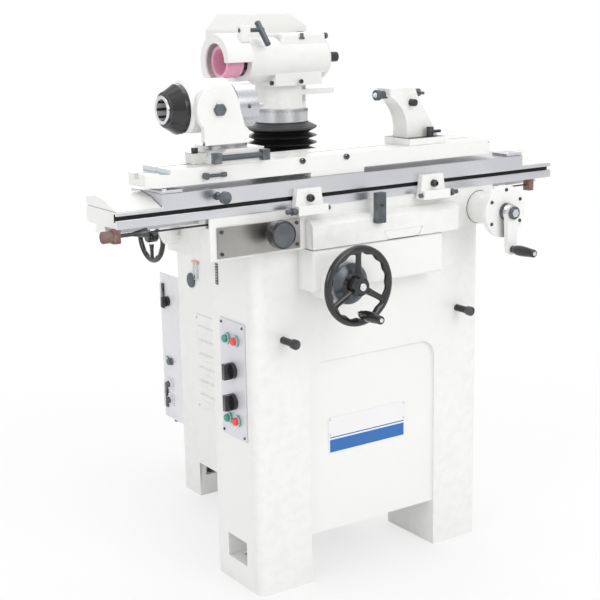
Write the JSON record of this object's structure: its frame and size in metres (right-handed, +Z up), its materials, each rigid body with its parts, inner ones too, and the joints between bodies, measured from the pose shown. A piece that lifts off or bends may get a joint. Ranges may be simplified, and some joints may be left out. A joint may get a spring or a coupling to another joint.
{
  "type": "universal tool grinder",
  "caption": "White universal tool and cutter grinder with swivelling table, tilting workhead, tailstock, and a cup wheel head on a bellows-covered elevating column.",
  "frame": {"origin": "on the floor, midway between the two front hold-down holes", "axes": "+X to the operator's right along the table, +Y away from the operator to the back, +Z up"},
  "size_m": [1.1883, 1.0535, 1.278],
  "materials": {
    "machine_paint": "gloss",
    "ground_steel": "ground",
    "polished_steel": "polished",
    "black_oxide_steel": "black oxide",
    "black_plastic": "gloss",
    "bellows_rubber": "satin",
    "panel_aluminium": "satin",
    "green_plastic": "gloss",
    "red_plastic": "gloss",
    "pink_abrasive": "rough",
    "bracket_red": "satin",
    "clear_reservoir": "clear",
    "switchgear_grey": "satin",
    "belt_rubber": "matte"
  },
  "bodies": {
    "base": {"base_casting": "machine_paint", "levelling_screws": "black_oxide_steel", "lifting_studs": "black_oxide_steel", "louvre_cover": "machine_paint", "control_panel": "panel_aluminium", "electrical_cabinet": "machine_paint", "contactor_set": "switchgear_grey", "oil_supply": "clear_reservoir", "apron_housing": "machine_paint"},
    "upper_start": {"upper_start_button": "green_plastic"},
    "upper_stop": {"upper_stop_button": "red_plastic"},
    "lower_start": {"lower_start_button": "green_plastic"},
    "lower_stop": {"lower_stop_button": "red_plastic"},
    "upper_selector_knob": {"upper_selector": "black_plastic"},
    "lower_selector_knob": {"lower_selector": "black_plastic"},
    "isolator": {"main_switch": "black_plastic"},
    "door": {"cabinet_door": "machine_paint"},
    "feed_wheel": {"cross_handwheel": "black_plastic"},
    "feed_grip": {"cross_handwheel_grip": "black_plastic"},
    "feed_screw": {"cross_feed_screw": "ground_steel"},
    "saddle": {"saddle_casting": "machine_paint", "saddle_cover_plate": "ground_steel", "table_stop_block": "black_oxide_steel", "crank_housing": "machine_paint"},
    "saddle_lock": {"saddle_lock_knob": "black_plastic"},
    "crank": {"table_crank": "polished_steel"},
    "crank_handle": {"crank_grip": "black_plastic"},
    "table": {"lower_table": "ground_steel", "table_end_covers": "machine_paint", "rope_brackets": "bracket_red", "traverse_rope": "ground_steel", "swivel_clamp_plates": "ground_steel"},
    "left_dog": {"left_trip_dog": "machine_paint"},
    "right_dog": {"right_trip_dog": "machine_paint"},
    "plunger": {"index_plunger": "black_oxide_steel"},
    "upper_table": {"swivel_table": "machine_paint", "workhead_base": "machine_paint"},
    "upper_table_lever": {"table_clamp_lever": "black_oxide_steel"},
    "workhead_knee": {"workhead_yoke": "machine_paint"},
    "workhead": {"workhead_body": "machine_paint"},
    "spindle": {"work_spindle": "polished_steel", "spindle_nose_nut": "black_oxide_steel", "indexing_drum": "ground_steel"},
    "tailstock": {"tailstock_body": "machine_paint"},
    "quill": {"tailstock_quill": "ground_steel"},
    "column": {"elevating_column": "ground_steel", "swivel_scale_ring": "ground_steel", "bellows": "bellows_rubber"},
    "lift_screw": {"elevating_screw": "ground_steel"},
    "lift_wheel": {"elevating_handwheel": "black_plastic"},
    "wheelhead": {"wheelhead_swivel_base": "machine_paint", "wheelhead_housing": "machine_paint", "belt_cover": "machine_paint", "wheelhead_motor": "switchgear_grey", "drive_belt": "belt_rubber", "wheel_guard": "machine_paint"},
    "grinding_shaft": {"grinding_spindle": "black_oxide_steel", "cup_wheel": "pink_abrasive"},
    "motor_shaft": {"motor_pulley": "ground_steel"},
    "guard_clamp": {"guard_clamp_handle": "black_oxide_steel"}
  },
  "joints": [
    {"name": "upper_start_press", "type": "slide", "parent": "base", "child": "upper_start", "axis": [1, 0, 0], "range_m": [0, 0.004], "stiffness_N_per_m": 400},
    {"name": "upper_stop_press", "type": "slide", "parent": "base", "child": "upper_stop", "axis": [1, 0, 0], "range_m": [0, 0.004], "stiffness_N_per_m": 400},
    {"name": "lower_start_press", "type": "slide", "parent": "base", "child": "lower_start", "axis": [1, 0, 0], "range_m": [0, 0.004], "stiffness_N_per_m": 400},
    {"name": "lower_stop_press", "type": "slide", "parent": "base", "child": "lower_stop", "axis": [1, 0, 0], "range_m": [0, 0.004], "stiffness_N_per_m": 400},
    {"name": "upper_selector_turn", "type": "hinge", "parent": "base", "child": "upper_selector_knob", "pos_m": [-0.33, -0.0245, 0.512], "axis": [1, 0, 0], "range_deg": [-45, 45]},
    {"name": "lower_selector_turn", "type": "hinge", "parent": "base", "child": "lower_selector_knob", "pos_m": [-0.33, -0.0245, 0.44], "axis": [1, 0, 0], "range_deg": [-45, 45]},
    {"name": "isolator_turn", "type": "hinge", "parent": "base", "child": "isolator", "pos_m": [-0.11, 0.6813, 0.508], "axis": [1, 0, 0], "range_deg": [-90, 0]},
    {"name": "door_swing", "type": "hinge", "parent": "base", "child": "door", "pos_m": [-0.103, 0.7166, 0.3], "axis": [0, 0, 1], "range_deg": [0, 110]},
    {"name": "cross_slide", "type": "slide", "parent": "base", "child": "saddle", "axis": [0, 1, 0], "range_m": [-0.06, 0.028]},
    {"name": "cross_wheel_turn", "type": "hinge", "parent": "base", "child": "feed_wheel", "pos_m": [-0.138, -0.244, 0.716], "axis": [0, 1, 0], "range_deg": [-2050, 4400]},
    {"name": "cross_screw_turn", "type": "hinge", "parent": "base", "child": "feed_screw", "pos_m": [-0.08, 0, 0.735], "axis": [0, 1, 0], "range_deg": [-4400, 2050]},
    {"name": "cross_grip_spin", "type": "hinge", "parent": "feed_wheel", "child": "feed_grip", "pos_m": [-0.138, -0.28, 0.656], "axis": [0, 1, 0], "continuous": true},
    {"name": "saddle_lock_turn", "type": "hinge", "parent": "saddle", "child": "saddle_lock", "pos_m": [-0.298, -0.19, 0.838], "axis": [0, 1, 0], "range_deg": [-90, 90]},
    {"name": "table_traverse", "type": "slide", "parent": "saddle", "child": "table", "axis": [1, 0, 0], "range_m": [-0.1, 0.113]},
    {"name": "crank_turn", "type": "hinge", "parent": "saddle", "child": "crank", "pos_m": [0.288, -0.24, 0.83], "axis": [0, 1, 0], "range_deg": [-165, 195]},
    {"name": "crank_grip_spin", "type": "hinge", "parent": "crank", "child": "crank_handle", "pos_m": [0.288, -0.29, 0.746], "axis": [0, 1, 0], "continuous": true},
    {"name": "left_dog_slide", "type": "slide", "parent": "table", "child": "left_dog", "axis": [1, 0, 0], "range_m": [-0.173, 0]},
    {"name": "right_dog_slide", "type": "slide", "parent": "table", "child": "right_dog", "axis": [1, 0, 0], "range_m": [0, 0.2]},
    {"name": "plunger_pull", "type": "slide", "parent": "table", "child": "plunger", "axis": [0, -1, 0], "range_m": [0, 0.012], "stiffness_N_per_m": 600},
    {"name": "upper_table_swivel", "type": "hinge", "parent": "table", "child": "upper_table", "pos_m": [-0.11, -0.075, 0.95], "axis": [0, 0, 1], "range_deg": [-10, 10]},
    {"name": "upper_table_lever_turn", "type": "hinge", "parent": "upper_table", "child": "upper_table_lever", "pos_m": [-0.441, -0.14, 0.9663], "axis": [0, 1, 0], "range_deg": [-15, 22]},
    {"name": "workhead_swivel", "type": "hinge", "parent": "upper_table", "child": "workhead_knee", "pos_m": [-0.356, -0.075, 1.03], "axis": [0, 0, 1], "range_deg": [-90, 90]},
    {"name": "workhead_tilt", "type": "hinge", "parent": "workhead_knee", "child": "workhead", "pos_m": [-0.412, -0.14, 1.0983], "axis": [0, 1, 0], "range_deg": [-10, 6]},
    {"name": "work_spindle_turn", "type": "hinge", "parent": "workhead", "child": "spindle", "pos_m": [-0.4, -0.075, 1.0983], "axis": [1, 0, 0], "continuous": true},
    {"name": "tailstock_slide", "type": "slide", "parent": "upper_table", "child": "tailstock", "axis": [1, 0, 0], "range_m": [-0.3, 0.08]},
    {"name": "quill_draw", "type": "slide", "parent": "tailstock", "child": "quill", "axis": [1, 0, 0], "range_m": [0, 0.012], "stiffness_N_per_m": 1500},
    {"name": "column_elevate", "type": "slide", "parent": "base", "child": "column", "axis": [0, 0, 1], "range_m": [-0.1, 0.13], "deforming": ["bellows"]},
    {"name": "lift_screw_turn", "type": "hinge", "parent": "base", "child": "lift_screw", "pos_m": [0, 0.34, 0.6], "axis": [0, 0, 1], "range_deg": [-9200, 11900]},
    {"name": "lift_wheel_turn", "type": "hinge", "parent": "base", "child": "lift_wheel", "pos_m": [-0.322, 0.34, 0.762], "axis": [1, 0, 0], "range_deg": [-9200, 11900]},
    {"name": "wheelhead_swivel", "type": "hinge", "parent": "column", "child": "wheelhead", "pos_m": [0, 0.253, 1.0546], "axis": [0, 0, 1], "range_deg": [-90, 90]},
    {"name": "grinding_spindle_turn", "type": "hinge", "parent": "wheelhead", "child": "grinding_shaft", "pos_m": [0, 0.215, 1.172], "axis": [1, 0, 0], "continuous": true},
    {"name": "motor_turn", "type": "hinge", "parent": "wheelhead", "child": "motor_shaft", "pos_m": [0, 0.356, 1.192], "axis": [1, 0, 0], "continuous": true},
    {"name": "guard_clamp_turn", "type": "hinge", "parent": "wheelhead", "child": "guard_clamp", "pos_m": [-0.12, 0.176, 1.243], "axis": [1, 0, 0], "range_deg": [-80, 0]}
  ],
  "couplings": [
    {"joint": "cross_wheel_turn", "follows": "cross_slide", "rad_per_m": -1256.6},
    {"joint": "cross_screw_turn", "follows": "cross_slide", "rad_per_m": 1256.6},
    {"joint": "crank_turn", "follows": "table_traverse", "rad_per_m": 27.548},
    {"joint": "lift_screw_turn", "follows": "column_elevate", "rad_per_m": 1570.8},
    {"joint": "lift_wheel_turn", "follows": "column_elevate", "rad_per_m": 1570.8},
    {"joint": "motor_turn", "follows": "grinding_spindle_turn", "ratio": 0.81818}
  ]
}
